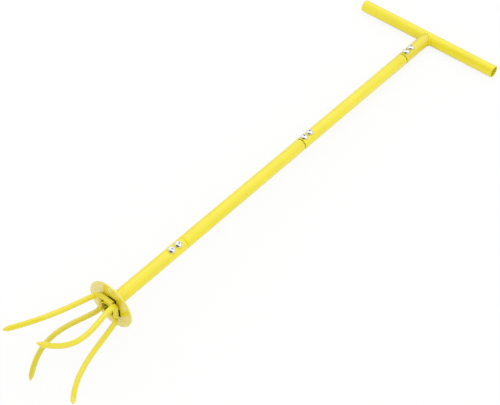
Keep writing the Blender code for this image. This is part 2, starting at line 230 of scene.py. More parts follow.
TUBE_RADIUS = TUBE_OD / 2
TUBE_BORE = TUBE_RADIUS - TUBE_WALL
SWAGE_RADIUS = TUBE_BORE - SWAGE_PLAY
SWAGE_BORE = SWAGE_RADIUS - TUBE_WALL
SCREW_HOLE_RADIUS = SCREW_DIAMETER / 2 + SCREW_HOLE_PLAY
BAR_OFFSET = TUBE_RADIUS + TINE_ROD / 2 + GAP
BAR_DEPTH = TINE_ROD / 2 + GAP
BAR_START = -(BAR_OFFSET - TINE_ROD / 2 - GAP)
TINY = 0.000002
JOINTS = ("top", "middle", "lower")

# A Mix node's sockets when it blends colours
MIX_INPUTS = (0, 6, 7)
MIX_OUTPUT = 2


# Places, read from the frame

def middle_of(node):
    low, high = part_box(node)
    return (low + high) / 2


def tool_axes():
    """The tool's own frame: origin at the disc's underside, +X up the shaft, +Y along the handle."""
    disc = middle_of("depth_disc")
    along = (middle_of("cross_handle") - disc).normalized()
    sideways = Vector((0, 1, 0))
    place = Matrix((along, sideways, along.cross(sideways))).transposed().to_4x4()
    place.translation = disc - along * DISC_THICKNESS / 2
    return place


TOOL = tool_axes()


def own_points(node):
    """A node's points in the tool's own frame."""
    inverse = TOOL.inverted()
    return [inverse @ vertex.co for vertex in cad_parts[node].data.vertices]


def reach(node):
    """Where a node starts and ends along the shaft."""
    along = [point.x for point in own_points(node)]
    return min(along), max(along)


HANDLE_AT = sum(reach("cross_handle")) / 2
HANDLE_HALF = (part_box("cross_handle")[1].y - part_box("cross_handle")[0].y) / 2
TOP_SEAM = reach("handle_socket")[0]
MIDDLE_SEAM, UPPER_SHAFT_END = reach("upper_shaft")
LOWER_SHAFT_START, LOWER_SHAFT_END = reach("lower_shaft")
HEAD_MOUTH, LOWER_SEAM = reach("head_socket")


def screw_station(joint, number):
    """How far up the shaft a screw sits, and how far it is turned about the shaft."""
    name = "{}_screw_{}".format(joint, number)
    points = own_points(name)
    middle = sum(points, Vector()) / len(points)
    return sum(reach(name)) / 2, math.atan2(-middle.y, middle.z)


STATIONS = {joint: [screw_station(joint, number) for number in (1, 2)] for joint in JOINTS}
UPRIGHT = Matrix.Rotation(math.radians(-90), 4, "Y")


def along_shaft(x, turn=0.0, height=0.0):
    """A place on the shaft: x up it, turned about it, and so far out from its middle."""
    return Matrix.Rotation(turn, 4, "X") @ Matrix.Translation((x, 0, height))


def across_handle():
    """Turns a shape made along X to lie along the cross handle."""
    return Matrix.Translation((HANDLE_AT, 0, 0)) @ Matrix.Rotation(math.radians(90), 4, "Z")


# Shader helpers

def add_node(tree, kind, settings=None, **sockets):
    """A node with its settings, and values or links on the inputs that are named."""
    made = tree.nodes.new(kind)
    for key, value in (settings or {}).items():
        setattr(made, key, value)
    for label, value in sockets.items():
        feed(tree, value, made.inputs[label.replace("_", " ")])
    return made


def feed(tree, value, entry):
    """Links a socket to an input, or sets a plain value on it."""
    if isinstance(value, bpy.types.NodeSocket):
        tree.links.new(value, entry)
    else:
        entry.default_value = value


def calc(tree, operation, *values):
    """A Math node over sockets and numbers."""
    made = add_node(tree, "ShaderNodeMath", {"operation": operation})
    for entry, value in zip(made.inputs, values):
        feed(tree, value, entry)
    return made.outputs[0]


def blend_colours(tree, share, first, second):
    """From the first colour at a share of 0 to the second at 1."""
    made = add_node(tree, "ShaderNodeMix", {"data_type": "RGBA"})
    for number, value in zip(MIX_INPUTS, (share, first, second)):
        feed(tree, value, made.inputs[number])
    return made.outputs[MIX_OUTPUT]


def ramp(tree, value, low, high, to_low=0.0, to_high=1.0):
    """A soft step from one value to another as the input goes from low to high."""
    made = add_node(tree, "ShaderNodeMapRange", {"interpolation_type": "SMOOTHSTEP"})
    for label, entry in (("Value", value), ("From Min", low), ("From Max", high),
                         ("To Min", to_low), ("To Max", to_high)):
        feed(tree, entry, made.inputs[label])
    return made.outputs["Result"]


def noise(tree, place, size, detail=2.0, roughness=0.5):
    """Noise whose lumps are about as large as size."""
    scale = calc(tree, "DIVIDE", 1.0, size)
    return add_node(tree, "ShaderNodeTexNoise", Vector=place, Scale=scale, Detail=detail,
                    Roughness=roughness).outputs["Fac"]


def object_place(tree):
    return add_node(tree, "ShaderNodeTexCoord").outputs["Object"]


def bending(tree):
    """Above a half where a surface turns outwards, below it in a hollow."""
    return add_node(tree, "ShaderNodeNewGeometry").outputs["Pointiness"]


def new_group(name, inputs, output):
    """A node group with float inputs and one float output, and its two end nodes' sockets."""
    tree = bpy.data.node_groups.new(name, "ShaderNodeTree")
    for label, value in inputs.items():
        socket = tree.interface.new_socket(label, in_out="INPUT", socket_type="NodeSocketFloat")
        socket.default_value = value
    tree.interface.new_socket(output, in_out="OUTPUT", socket_type="NodeSocketFloat")
    given = tree.nodes.new("NodeGroupInput").outputs
    return tree, given, tree.nodes.new("NodeGroupOutput").inputs[output]


# Effects that several finishes share

def orange_peel_group():
    """The soft dimpling of baked powder, with a finer grain on top; coarser, it serves as mill scale."""
    tree, given, out = new_group("orange_peel", {"Dimple size": 0.0016, "Grain share": 0.2}, "Height")
    place = object_place(tree)
    dimples = noise(tree, place, given["Dimple size"], 1.0, 0.4)
    grain = noise(tree, place, calc(tree, "MULTIPLY", given["Dimple size"], 0.22), 2.0, 0.6)
    feed(tree, calc(tree, "MULTIPLY_ADD", grain, given["Grain share"], dimples), out)
    return tree


def edge_wear_group():
    """Where a surface turns sharply outwards, broken up into patches."""
    tree, given, out = new_group(
        "edge_wear", {"Start": 0.53, "Full": 0.60, "Patch size": 0.004, "Patch share": 0.5}, "Mask")
    edge = ramp(tree, bending(tree), given["Start"], given["Full"])
    patches = ramp(tree, noise(tree, object_place(tree), given["Patch size"], 3.0, 0.6), 0.4, 0.62)
    kept = calc(tree, "SUBTRACT", 1.0, given["Patch share"])
    cover = calc(tree, "MULTIPLY_ADD", patches, given["Patch share"], kept)
    feed(tree, calc(tree, "MULTIPLY", edge, cover), out)
    return tree


def dust_group():
    """Fine dust that settles on what faces up, in soft uneven patches and a few specks."""
    tree, given, out = new_group("dust", {"Amount": 0.2, "Patch size": 0.03}, "Mask")
    place = object_place(tree)
    normal = add_node(tree, "ShaderNodeNewGeometry").outputs["Normal"]
    upwards = add_node(tree, "ShaderNodeSeparateXYZ", Vector=normal).outputs["Z"]
    patches = ramp(tree, noise(tree, place, given["Patch size"], 4.0, 0.6), 0.35, 0.75)
    speck_size = calc(tree, "MULTIPLY", given["Patch size"], 0.02)
    specks = ramp(tree, noise(tree, place, speck_size, 1.0), 0.62, 0.72)
    cover = calc(tree, "MULTIPLY_ADD", specks, 0.5, patches)
    settled = calc(tree, "MULTIPLY", ramp(tree, upwards, 0.2, 1.0), cover)
    feed(tree, calc(tree, "MULTIPLY", settled, given["Amount"]), out)
    return tree


def scratches_group():
    """Hairlines in two directions, where stretched noise crosses its middle value."""
    tree, given, out = new_group("scratches", {"Length": 0.03, "Width": 0.0008, "Amount": 0.5}, "Mask")
    place = object_place(tree)
    shares = [calc(tree, "DIVIDE", 1.0, given[label]) for label in ("Length", "Width", "Width")]
    spread = add_node(tree, "ShaderNodeCombineXYZ", X=shares[0], Y=shares[1], Z=shares[2])
    lines = []
    for turn in (0.35, 1.9):
        turned_place = add_node(tree, "ShaderNodeMapping", Vector=place, Rotation=(0.2, turn, turn))
        stretched = add_node(tree, "ShaderNodeVectorMath", {"operation": "MULTIPLY"})
        feed(tree, turned_place.outputs["Vector"], stretched.inputs[0])
        feed(tree, spread.outputs["Vector"], stretched.inputs[1])
        field = noise(tree, stretched.outputs["Vector"], 1.0, 0.0)
        distance = calc(tree, "ABSOLUTE", calc(tree, "SUBTRACT", field, 0.5))
        lines.append(ramp(tree, distance, 0.0, 0.012, 1.0, 0.0))
    feed(tree, calc(tree, "MULTIPLY", calc(tree, "MAXIMUM", *lines), given["Amount"]), out)
    return tree


GROUPS = {
    "orange_peel": orange_peel_group(),
    "edge_wear": edge_wear_group(),
    "dust": dust_group(),
    "scratches": scratches_group(),
}


def effect(tree, name, **values):
    """One of the shared effects, placed in a material with its own values."""
    return add_node(tree, "ShaderNodeGroup", {"node_tree": GROUPS[name]}, **values).outputs[0]


# Finishes

def new_material(name, roughness, metallic, ior):
    material = bpy.data.materials.new(name)
    material.use_nodes = True
    shader = material.node_tree.nodes["Principled BSDF"]
    shader.inputs["Roughness"].default_value = roughness
    shader.inputs["Metallic"].default_value = metallic
    shader.inputs["IOR"].default_value = ior
    return material, material.node_tree, shader


def bump(tree, shader, height, distance):
    made = add_node(tree, "ShaderNodeBump", Strength=1.0, Distance=distance, Height=height)
    tree.links.new(made.outputs["Normal"], shader.inputs["Normal"])


def powder_coat(name, paint, roughness, ior=1.5, lacquer=0.3):
    """Glossy baked yellow powder: a slow drift in depth, thinner over edges, a little dust."""
    smoothest, roughest = roughness
    material, tree, shader = new_material(name, roughest, 0.0, ior)
    place = object_place(tree)
    drift = ramp(tree, noise(tree, place, PAINT_DRIFT_SIZE, 2.0), 0.3, 0.7, 0.0, 0.5)
    edges = effect(tree, "edge_wear", Start=0.52, Full=0.62, Patch_share=0.3)
    dust = effect(tree, "dust", Amount=0.015)
    colour = blend_colours(tree, drift, paint, PAINT_DEEP)
    colour = blend_colours(tree, edges, colour, PAINT_THIN)
    tree.links.new(blend_colours(tree, dust, colour, DUST), shader.inputs["Base Color"])
    patches = ramp(tree, noise(tree, place, PAINT_GLOSS_SIZE, 3.0), 0.3, 0.7, smoothest, roughest)
    marks = effect(tree, "scratches", Amount=0.08)
    dulled = calc(tree, "ADD", calc(tree, "MULTIPLY_ADD", dust, 0.5, patches), marks)
    tree.links.new(dulled, shader.inputs["Roughness"])
    bump(tree, shader, effect(tree, "orange_peel"), PAINT_RELIEF)
    shader.inputs["Coat Weight"].default_value = lacquer
    shader.inputs["Coat Roughness"].default_value = LACQUER_ROUGHNESS
    return material


def bore_finish(name, bare_from, bare_by):
    """A tube's inside: powder blown in at the mouth, then bare mill steel with a little rust; the dark
    steel near a mouth is partly painted shade for the inside of the tube.
    """
    material, tree, shader = new_material(name, 0.4, 0.0, 1.5)
    place = object_place(tree)
    depth = add_node(tree, "ShaderNodeAttribute", {"attribute_name": "depth_inside"}).outputs["Fac"]
    edge = noise(tree, place, BARE_EDGE_SIZE, 4.0, 0.65)
    bare = ramp(tree, calc(tree, "MULTIPLY_ADD", edge, BARE_EDGE_REACH, depth), bare_from, bare_by)
    rust = ramp(tree, noise(tree, place, RUST_SIZE, 5.0, 0.7), 0.52, 0.7)
    steel = blend_colours(tree, rust, MILL_STEEL, RUST)
    tree.links.new(blend_colours(tree, bare, PAINT_DEEP, steel), shader.inputs["Base Color"])
    tree.links.new(ramp(tree, bare, 0.0, 1.0, 0.35, 0.55), shader.inputs["Roughness"])
    tree.links.new(calc(tree, "MULTIPLY", bare, 0.6), shader.inputs["Metallic"])
    scale = effect(tree, "orange_peel", Dimple_size=MILL_SCALE_SIZE, Grain_share=0.6)
    bump(tree, shader, scale, MILL_SCALE_RELIEF)
    return material


def crevice_painted_shade():
    """Painted shade where a bar lies close to the disc and in a seam's groove: a dark colour with yellowish
    patches.
    """
    material, tree, shader = new_material("painted_crevice_shade", 0.8, 0.0, 1.3)
    shade_patches = ramp(tree, noise(tree, object_place(tree), SHADE_PATCH_SIZE, 3.0, 0.6), 0.45, 0.75, 0.0, 0.35)
    tree.links.new(blend_colours(tree, shade_patches, CREVICE_SHADE, PAINT_THIN), shader.inputs["Base Color"])
    bump(tree, shader, effect(tree, "orange_peel", Grain_share=0.8), CREVICE_RELIEF)
    return material


def zinc_finish():
    """Bright zinc plate: turning rings round the head, cloudy patches, painted shade in the hollows."""
    material, tree, shader = new_material("bright_zinc", 0.2, 1.0, 1.5)
    place = object_place(tree)
    own = add_node(tree, "ShaderNodeAttribute", {"attribute_name": "own_place"}).outputs["Vector"]
    axes = add_node(tree, "ShaderNodeSeparateXYZ", Vector=own).outputs
    squares = [calc(tree, "POWER", axes[label], 2.0) for label in ("Y", "Z")]
    radius = calc(tree, "SQRT", calc(tree, "ADD", *squares))
    rings = calc(tree, "SINE", calc(tree, "MULTIPLY", radius, TURNING_RINGS))
    cloud = ramp(tree, noise(tree, place, PLATING_CLOUD_SIZE, 3.0), 0.35, 0.7, 0.0, 0.45)
    # Painted shade darkens the zinc where the surface hollows, as in the cross recess
    hollow_shade = ramp(tree, bending(tree), 0.36, 0.49, 1.0, 0.0)
    colour = blend_colours(tree, cloud, ZINC, ZINC_DULL)
    tree.links.new(blend_colours(tree, hollow_shade, colour, HOLLOW_SHADE), shader.inputs["Base Color"])
    marks = effect(tree, "scratches", Length=0.004, Width=0.0002, Amount=0.25)
    dulled = calc(tree, "ADD", calc(tree, "MULTIPLY_ADD", cloud, 0.25, 0.12), marks)
    tree.links.new(dulled, shader.inputs["Roughness"])
    grain = calc(tree, "MULTIPLY_ADD", rings, 0.15, noise(tree, place, PLATING_GRAIN_SIZE, 2.0))
    bump(tree, shader, grain, PLATING_RELIEF)
    return material


PAINTED = powder_coat("yellow_powder_coat", PAINT, (0.17, 0.23))
SOCKET_PAINTED = powder_coat("yellow_powder_coat_dull", PAINT_SOCKET, (0.22, 0.30), lacquer=0.5)
DISC_PAINTED = powder_coat("yellow_powder_coat_thick", PAINT_DISC, (0.09, 0.13), ior=1.9, lacquer=1.0)
TINES_PAINTED = powder_coat("yellow_powder_coat_tines", PAINT_TINES, (0.18, 0.25))
# The back tine's coat, darker as painted shade
BACK_TINE_PAINTED_SHADE = powder_coat("yellow_powder_coat_back_tine_shade", PAINT_BACK_TINE_SHADE, (0.22, 0.30), lacquer=0.5)
# Painted shade in the crevices beside the bars and in the seams' grooves
PAINTED_SHADE = crevice_painted_shade()
BORE = bore_finish("tube_bore", HANDLE_BARE_FROM, HANDLE_BARE_BY)
HEAD_BORE_PAINTED_SHADE = bore_finish("head_bore_painted_shade", HEAD_BARE_FROM, HEAD_BARE_BY)
PLATED = zinc_finish()


# Shape helpers

def turned(profile, sides, closed=True):
    """An outline of (x, radius) points turned about the shaft's axis."""
    shape = bmesh.new()
    points = [shape.verts.new((x, 0, radius)) for x, radius in profile]
    pairs = list(zip(points, points[1:]))
    if closed:
        pairs.append((points[-1], points[0]))
    edges = [shape.edges.new(pair) for pair in pairs]
    bmesh.ops.spin(shape, geom=points + edges, cent=(0, 0, 0), axis=(1, 0, 0), angle=2 * math.pi,
                   steps=sides, use_merge=True)
    bmesh.ops.remove_doubles(shape, verts=shape.verts, dist=TINY)
    bmesh.ops.recalc_face_normals(shape, faces=shape.faces)
    return shape


def off_axis(point):
    return math.hypot(point.y, point.z)


def round_rim(shape, x, radius, size):
    """Rounds the circular edge at one place of a turned shape."""
    edges = [edge for edge in shape.edges
             if all(abs(vertex.co.x - x) < TINY and abs(off_axis(vertex.co) - radius) < TINY
                    for vertex in edge.verts)]
    bmesh.ops.bevel(shape, geom=edges, offset=size, offset_type="OFFSET", affect="EDGES",
                    segments=RIM_SEGMENTS, profile=0.5, material=-1, clamp_overlap=True)


def frames_along(path):
    """A place at each point of a path, turned as little as it can be from one to the next."""
    places = []
    side = (path[1] - path[0]).orthogonal()
    for i, point in enumerate(path):
        forward = (path[min(i + 1, len(path) - 1)] - path[max(i - 1, 0)]).normalized()
        side = (side - forward * side.dot(forward)).normalized()
        place = Matrix((side, forward.cross(side), forward)).transposed().to_4x4()
        place.translation = point
        places.append(place)
    return places


def swept(path, radii, sides):
    """A round rod along a path, with a radius at each point; a radius of zero closes it in a pole."""
    places = [place @ Matrix.Diagonal((radius, radius, 1, 1))
              for place, radius in zip(frames_along(path), radii)]
    shape = bmesh.new()
    bmesh.ops.create_circle(shape, segments=sides, radius=1, matrix=places[0])
    edges = shape.edges[:]
    for before, after in zip(places, places[1:]):
        made = bmesh.ops.extrude_edge_only(shape, edges=edges)["geom"]
        ring = {part for part in made if isinstance(part, bmesh.types.BMVert)}
        edges = [part for part in made
                 if isinstance(part, bmesh.types.BMEdge) and ring.issuperset(part.verts)]
        bmesh.ops.transform(shape, matrix=after @ before.inverted(), verts=list(ring))
    bmesh.ops.remove_doubles(shape, verts=shape.verts, dist=TINY)
    bmesh.ops.holes_fill(shape, edges=shape.edges, sides=0)
    bmesh.ops.recalc_face_normals(shape, faces=shape.faces)
    return shape


def loose_object(shape):
    mesh = bpy.data.meshes.new("loose")
    shape.to_mesh(mesh)
    shape.free()
    thing = bpy.data.objects.new("loose", mesh)
    bpy.context.scene.collection.objects.link(thing)
    return thing


def subtract(shape, cutters):
    """A shape with other shapes cut out of it, and the points that the cuts double merged."""
    body = loose_object(shape)
    knives = [loose_object(cutter) for cutter in cutters]
    for knife in knives:
        modifier = body.modifiers.new("cut", "BOOLEAN")
        modifier.operation = "DIFFERENCE"
        modifier.solver = "EXACT"
        modifier.object = knife
    bpy.context.view_layer.update()
    evaluated = body.evaluated_get(bpy.context.evaluated_depsgraph_get())
    result = bmesh.new()
    result.from_mesh(evaluated.data)
    bmesh.ops.remove_doubles(result, verts=result.verts, dist=TINY)
    for thing in [body] + knives:
        mesh = thing.data
        bpy.data.objects.remove(thing)
        bpy.data.meshes.remove(mesh)
    return result


def round_bar(radius, length, place, sides):
    """A plain cylinder standing on its place, along its own Z."""
    shape = bmesh.new()
    middle = place @ Matrix.Translation((0, 0, length / 2))
    bmesh.ops.create_cone(shape, cap_ends=True, segments=sides, radius1=radius, radius2=radius,
                          depth=length, matrix=middle)
    return shape


def add_piece(node, shape, materials, place=TOOL, sharp=SHARP):
    """Makes a finished shape the piece that stands for a node."""
    name = "finished_" + node
    mesh = bpy.data.meshes.new(name)
    shape.to_mesh(mesh)
    shape.free()
    mesh.transform(place)
    for material in materials:
        mesh.materials.append(material)
    mesh.shade_smooth()
    mesh.set_sharp_from_angle(angle=math.radians(sharp))
    piece = bpy.data.objects.new(name, mesh)
    bpy.context.scene.collection.objects.link(piece)
    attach(piece, "root")
    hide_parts(node)
    return piece


# Tubes

def narrowed(shoulder, end):
    """Sections of a swaged end, from its shoulder to where it stops inside the next tube."""
    side = math.copysign(1, end - shoulder)
    sections = []
    for i in range(NECK_STEPS + 1):
        share = i / NECK_STEPS
        drawn = share * share * (3 - 2 * share)
        sections.append((shoulder + side * SWAGE_TAPER * share,
                         TUBE_RADIUS + (SWAGE_RADIUS - TUBE_RADIUS) * drawn,
                         TUBE_BORE + (SWAGE_BORE - TUBE_BORE) * drawn))
    return sections + [(end, SWAGE_RADIUS, SWAGE_BORE)]


def plain(*places):
    """Sections of full tube at these places."""
    return [(x, TUBE_RADIUS, TUBE_BORE) for x in places]


def with_stations(sections, places):
    """Adds a section at each place, so that what is cut there stays local."""
    sections = sorted(sections)
    for x in places:
        for before, after in zip(sections, sections[1:]):
            if before[0] + TINY < x < after[0] - TINY:
                share = (x - before[0]) / (after[0] - before[0])
                sections.append(tuple(a + (b - a) * share for a, b in zip(before, after)))
                sections.sort()
                break
    return sections


def raise_inner_seam(shape):
    """The welded seam along the inside of a rolled tube, on the side away from the screws."""
    for vertex in shape.verts:
        across = abs(math.atan2(vertex.co.y, -vertex.co.z)) * TUBE_BORE
        if off_axis(vertex.co) < TUBE_BORE + TINY and across < TUBE_WALL:
            lift = SEAM_RIDGE_HEIGHT * (1 - across / TUBE_WALL)
            vertex.co.yz *= 1 - lift / off_axis(vertex.co)


def mark_bore(shape, mouths):
    """Gives the inner wall its own finish, a seam's groove the painted shade, and each point its depth
    inside.
    """
    depth = shape.verts.layers.float.new("depth_inside")
    for vertex in shape.verts:
        vertex[depth] = min(abs(vertex.co.x - mouth) for mouth in mouths)
    for face in shape.faces:
        middle = face.calc_center_median()
        outwards = face.normal.dot(Vector((0, middle.y, middle.z)).normalized())
        in_groove = off_axis(middle) < GROOVE_PAINTED_SHADE_BELOW and face.normal.x > FACES_UP_SHAFT
        if outwards < -FACES_AXIS:
            face.material_index = 1
        # The bottom of a seam's groove, facing up the shaft, gets the painted shade
        elif in_groove and outwards > FACES_OUT_OF_GROOVE:
            face.material_index = 2


def add_tube(node, sections, mouths, joints=(), place=TOOL, shaped=None, outside=PAINTED, inside=BORE):
    """A tube from (x, outer, inner) sections, its open mouths rounded and its screw holes cut."""
    stations = [station for joint in joints for station in STATIONS[joint]]
    clear = DRILL_REACH * SCREW_DIAMETER
    sections = with_stations(sections, [x + side * clear for x, _ in stations for side in (-1, 1)])
    outer = [(x, radius) for x, radius, _ in sections]
    inner = [(x, bore) for x, _, bore in reversed(sections)]
    shape = turned(outer + inner, TUBE_SIDES)
    for x in mouths:
        round_rim(shape, x, TUBE_RADIUS, MOUTH_ROUND)
        round_rim(shape, x, TUBE_BORE, BORE_ROUND)
    raise_inner_seam(shape)
    if shaped:
        shaped(shape)
    if stations:
        bits = [round_bar(SCREW_HOLE_RADIUS, TUBE_OD, along_shaft(x, turn), HOLE_SIDES)
                for x, turn in stations]
        shape = subtract(shape, bits)
    mark_bore(shape, mouths or [sections[0][0], sections[-1][0]])
    return add_piece(node, shape, (outside, inside, PAINTED_SHADE), place)


def fit_saddle(shape):
    """Draws the socket's upper end up to the cross handle, so that it hugs the round tube."""
    for vertex in shape.verts:
        if vertex.co.x > HANDLE_AT - TINY:
            vertex.co.x = HANDLE_AT - math.sqrt((TUBE_RADIUS + GAP) ** 2 - vertex.co.z ** 2)


def add_tubes():
    top_shoulder = TOP_SEAM - GAP - SWAGE_TAPER
    middle_shoulder = MIDDLE_SEAM - GAP - SWAGE_TAPER
    lower_shoulder = LOWER_SEAM + GAP + SWAGE_TAPER
    add_tube("cross_handle", plain(-HANDLE_HALF, 0, HANDLE_HALF), (-HANDLE_HALF, HANDLE_HALF),
             place=TOOL @ across_handle())
    add_tube("handle_socket", plain(TOP_SEAM, HANDLE_AT - TUBE_OD, HANDLE_AT), (TOP_SEAM,), ("top",),
             shaped=fit_saddle, outside=SOCKET_PAINTED)
    add_tube("upper_shaft", plain(MIDDLE_SEAM) + narrowed(top_shoulder, UPPER_SHAFT_END), (MIDDLE_SEAM,),
             ("top", "middle"))
    ends = narrowed(lower_shoulder, LOWER_SHAFT_START) + narrowed(middle_shoulder, LOWER_SHAFT_END)
    add_tube("lower_shaft", ends, (), ("middle", "lower"))
    add_tube("head_socket", plain(HEAD_MOUTH, LOWER_SEAM), (HEAD_MOUTH, LOWER_SEAM), ("lower",),
             inside=HEAD_BORE_PAINTED_SHADE)


# Disc and welds

def add_disc():
    """The stamped disc: a drawn edge above, a finer one below, its hole chamfered for the weld."""
    hole = TUBE_RADIUS + GAP
    rim = DISC_DIAMETER / 2
    shape = turned([(0, hole), (0, rim), (DISC_THICKNESS, rim), (DISC_THICKNESS, hole + DISC_HOLE_CHAMFER),
                    (DISC_THICKNESS - DISC_HOLE_CHAMFER, hole)], DISC_SIDES)
    round_rim(shape, DISC_THICKNESS, rim, DISC_DRAWN_ROUND)
    round_rim(shape, 0, rim, DISC_BURR_ROUND)
    mark_crevice_shade(shape)
    add_piece("depth_disc", shape, (DISC_PAINTED, PAINTED_SHADE))


def mark_crevice_shade(shape):
    """Gives the strips of the disc's underside along the four bars the painted shade."""
    quarters = [Matrix.Rotation(2 * math.pi * number / TINE_COUNT, 3, "X") for number in range(TINE_COUNT)]
    slanted = Vector((0, math.sin(CREVICE_SLANT), math.cos(CREVICE_SLANT)))
    sides = (((0, CREVICE_START, BAR_OFFSET - CREVICE_INNER), Vector((0, 0, 1))),
             ((0, CREVICE_START, BAR_OFFSET + CREVICE_OUTER), -slanted),
             ((0, CREVICE_START, BAR_OFFSET), Vector((0, 1, 0))),
             ((0, CREVICE_END, BAR_OFFSET), Vector((0, -1, 0))))
    strips = [[(quarter @ Vector(place), quarter @ inwards) for place, inwards in sides]
              for quarter in quarters]
    for place, inwards in [side for strip in strips for side in strip]:
        everything = shape.verts[:] + shape.edges[:] + shape.faces[:]
        bmesh.ops.bisect_plane(shape, geom=everything, dist=TINY, plane_co=place, plane_no=inwards)
    shape.normal_update()
    for face in shape.faces:
        middle = face.calc_center_median()
        within = any(all((middle - place).dot(inwards) > 0 for place, inwards in strip) for strip in strips)
        # The strips facing the tines get the painted shade
        face.material_index = int(within and face.normal.x < -FACES_TINES)


def ripple(distance):
    """How far a weld bead stands out, at a distance along it: one shallow scale after another."""
    return WELD_RIPPLE * abs(math.sin(math.pi * distance / WELD_RIPPLE_LENGTH))


def add_disc_weld():
    """The hollow bead that fills the disc's chamfer and climbs the socket."""
    toe = DISC_THICKNESS - WELD_SINK
    wall = TUBE_RADIUS - WELD_SINK
    reach_out = GAP + WELD_SINK + DISC_WELD_REACH
    rise = DISC_WELD_HEIGHT + WELD_SINK
    profile = [(toe, wall)]
    for i in range(DISC_WELD_STEPS + 1):
        angle = math.pi / 2 * i / DISC_WELD_STEPS
        profile.append((toe + rise * (1 - math.sin(angle)), wall + reach_out * (1 - math.cos(angle))))
    shape = turned(profile, DISC_WELD_SIDES)
    for vertex in shape.verts:
        share = (off_axis(vertex.co) - wall) / reach_out
        proud = ripple(math.atan2(vertex.co.y, vertex.co.z) * TUBE_RADIUS) * math.sin(math.pi * share)
        outwards = Vector((0, vertex.co.y, vertex.co.z)).normalized() + Vector((1, 0, 0))
        vertex.co += outwards.normalized() * proud
    add_piece("disc_weld", shape, (PAINTED,))


def neck_weld_route():
    """The bead's line round the socket's top end, and its size, open beside the underside."""
    points = []
    sizes = []
    half_span = math.pi - NECK_WELD_OPENING
    for i in range(NECK_WELD_STEPS + 1):
        from_top = half_span * (2 * i / NECK_WELD_STEPS - 1)
        sideways = math.sin(from_top)
        setback = math.hypot(TUBE_RADIUS * sideways, NECK_WELD_CROWN_SETBACK)
        height = TUBE_RADIUS * math.cos(from_top)
        points.append(Vector((HANDLE_AT - setback, TUBE_RADIUS * sideways, height)))
        full = NECK_WELD_CROWN_SIZE + (NECK_WELD_SIZE - NECK_WELD_CROWN_SIZE) * abs(sideways)
        share = min(1, (half_span - abs(from_top)) / NECK_WELD_RUN_OUT)
        sizes.append(NECK_WELD_END_SIZE + (full - NECK_WELD_END_SIZE) * share)
    return points, sizes


def add_neck_weld():
    """The rippled bead between the socket and the cross handle."""
    points, sizes = neck_weld_route()
    distance = 0
    radii = [sizes[0]]
    for before, after, size in zip(points, points[1:], sizes[1:]):
        distance += (after - before).length
        radii.append(size + ripple(distance))
    bead = swept(points, radii, NECK_WELD_SIDES)
    dip = TUBE_RADIUS - WELD_SINK
    below = Matrix.Translation((HANDLE_AT - 2 * TUBE_OD, 0, 0)) @ Matrix.Rotation(math.pi / 2, 4, "Y")
    sideways = Matrix.Translation((HANDLE_AT, TUBE_OD, 0)) @ Matrix.Rotation(math.pi / 2, 4, "X")
    cutters = [round_bar(dip, 2 * TUBE_OD, place, TUBE_SIDES) for place in (below, sideways)]
    add_piece("handle_weld", subtract(bead, cutters), (PAINTED,), sharp=WELD_SHARP)


# Tines

def knee_arc(knee, out_direction):
    """The bend from a bar into its leg."""
    bar_direction = Vector((1, 0, 0))
    turn = bar_direction.angle(out_direction)
    start = knee - bar_direction * TINE_BEND_RADIUS * math.tan(turn / 2)
    inward = (out_direction - bar_direction * out_direction.dot(bar_direction)).normalized()
    points = []
    for i in range(BEND_STEPS + 1):
        angle = turn * i / BEND_STEPS
        points.append(start + bar_direction * TINE_BEND_RADIUS * math.sin(angle)
                      + inward * TINE_BEND_RADIUS * (1 - math.cos(angle)))
    return points


def leg_curve(start, start_pull, end_pull, end):
    """A smooth curve from start to end, drawn out towards its two pulls."""
    points = []
    for i in range(1, LEG_STEPS + 1):
        t = i / LEG_STEPS
        s = 1 - t
        pulled = start_pull * 3 * s * s * t + end_pull * 3 * s * t * t
        points.append(start * s ** 3 + pulled + end * t ** 3)
    return points


def tine_route(offset):
    """One tine's middle line: its bar, its knee and its leg."""
    offset = Vector(offset)
    out_direction = (Vector(TINE_LEG_DIRECTION).normalized() * TINE_LEG_PULL + offset / 3).normalized()
    bend = knee_arc(Vector((TINE_KNEE, BAR_OFFSET, BAR_DEPTH)), out_direction)
    tip = Vector(TINE_TIP) + offset
    leg_pull = bend[-1] + out_direction * TINE_LEG_PULL
    tip_pull = tip - Vector(TINE_TIP_DIRECTION).normalized() * TINE_TIP_PULL - offset / 3
    bar = [Vector((BAR_START + cut, BAR_OFFSET, BAR_DEPTH)) for cut in (0, TINE_CUT_CHAMFER)]
    return bar + bend + leg_curve(bend[-1], leg_pull, tip_pull, tip)


def rod_radius(back):
    """The rod's radius at a distance back from its tip: domed, then drawn out to full size."""
    share = max(0, 1 - back / TINE_POINT_LENGTH)
    radius = (TINE_ROD + (TINE_TIP_ROD - TINE_ROD) * share ** TINE_POINT_ROUNDNESS) / 2
    if back < TINE_TIP_DOME:
        radius *= math.sqrt(1 - (1 - back / TINE_TIP_DOME) ** 2)
    return radius


def pointed(route):
    """The route with its last stretch straight and finely stepped, and the radius at each point."""
    tip = route[-1]
    forward = (tip - route[-2]).normalized()
    kept = [point for point in route if (tip - point).length > TINE_POINT_LENGTH]
    radii = [TINE_ROD / 2] * len(kept)
    radii[0] -= TINE_CUT_CHAMFER
    straight = TINE_POINT_LENGTH - TINE_TIP_DOME
    backs = [TINE_TIP_DOME + straight * (1 - i / POINT_STEPS) for i in range(POINT_STEPS)]
    backs += [TINE_TIP_DOME * (1 - math.sin(math.pi / 2 * i / DOME_STEPS)) for i in range(DOME_STEPS + 1)]
    return kept + [tip - forward * back for back in backs], radii + [rod_radius(back) for back in backs]


def add_tines():
    for number, offset in enumerate(TINE_TIP_OFFSETS, start=1):
        route, radii = pointed(tine_route(offset))
        turn = Matrix.Rotation(2 * math.pi * (number - 1) / TINE_COUNT, 3, "X")
        path = [turn @ Vector((-point.z, point.x, point.y)) for point in route]
        # The back tine gets the paint darkened as painted shade
        finish = BACK_TINE_PAINTED_SHADE if number == BACK_TINE else TINES_PAINTED
        add_piece("tine_{}".format(number), swept(path, radii, TINE_SIDES), (finish,))


# Screws and nuts

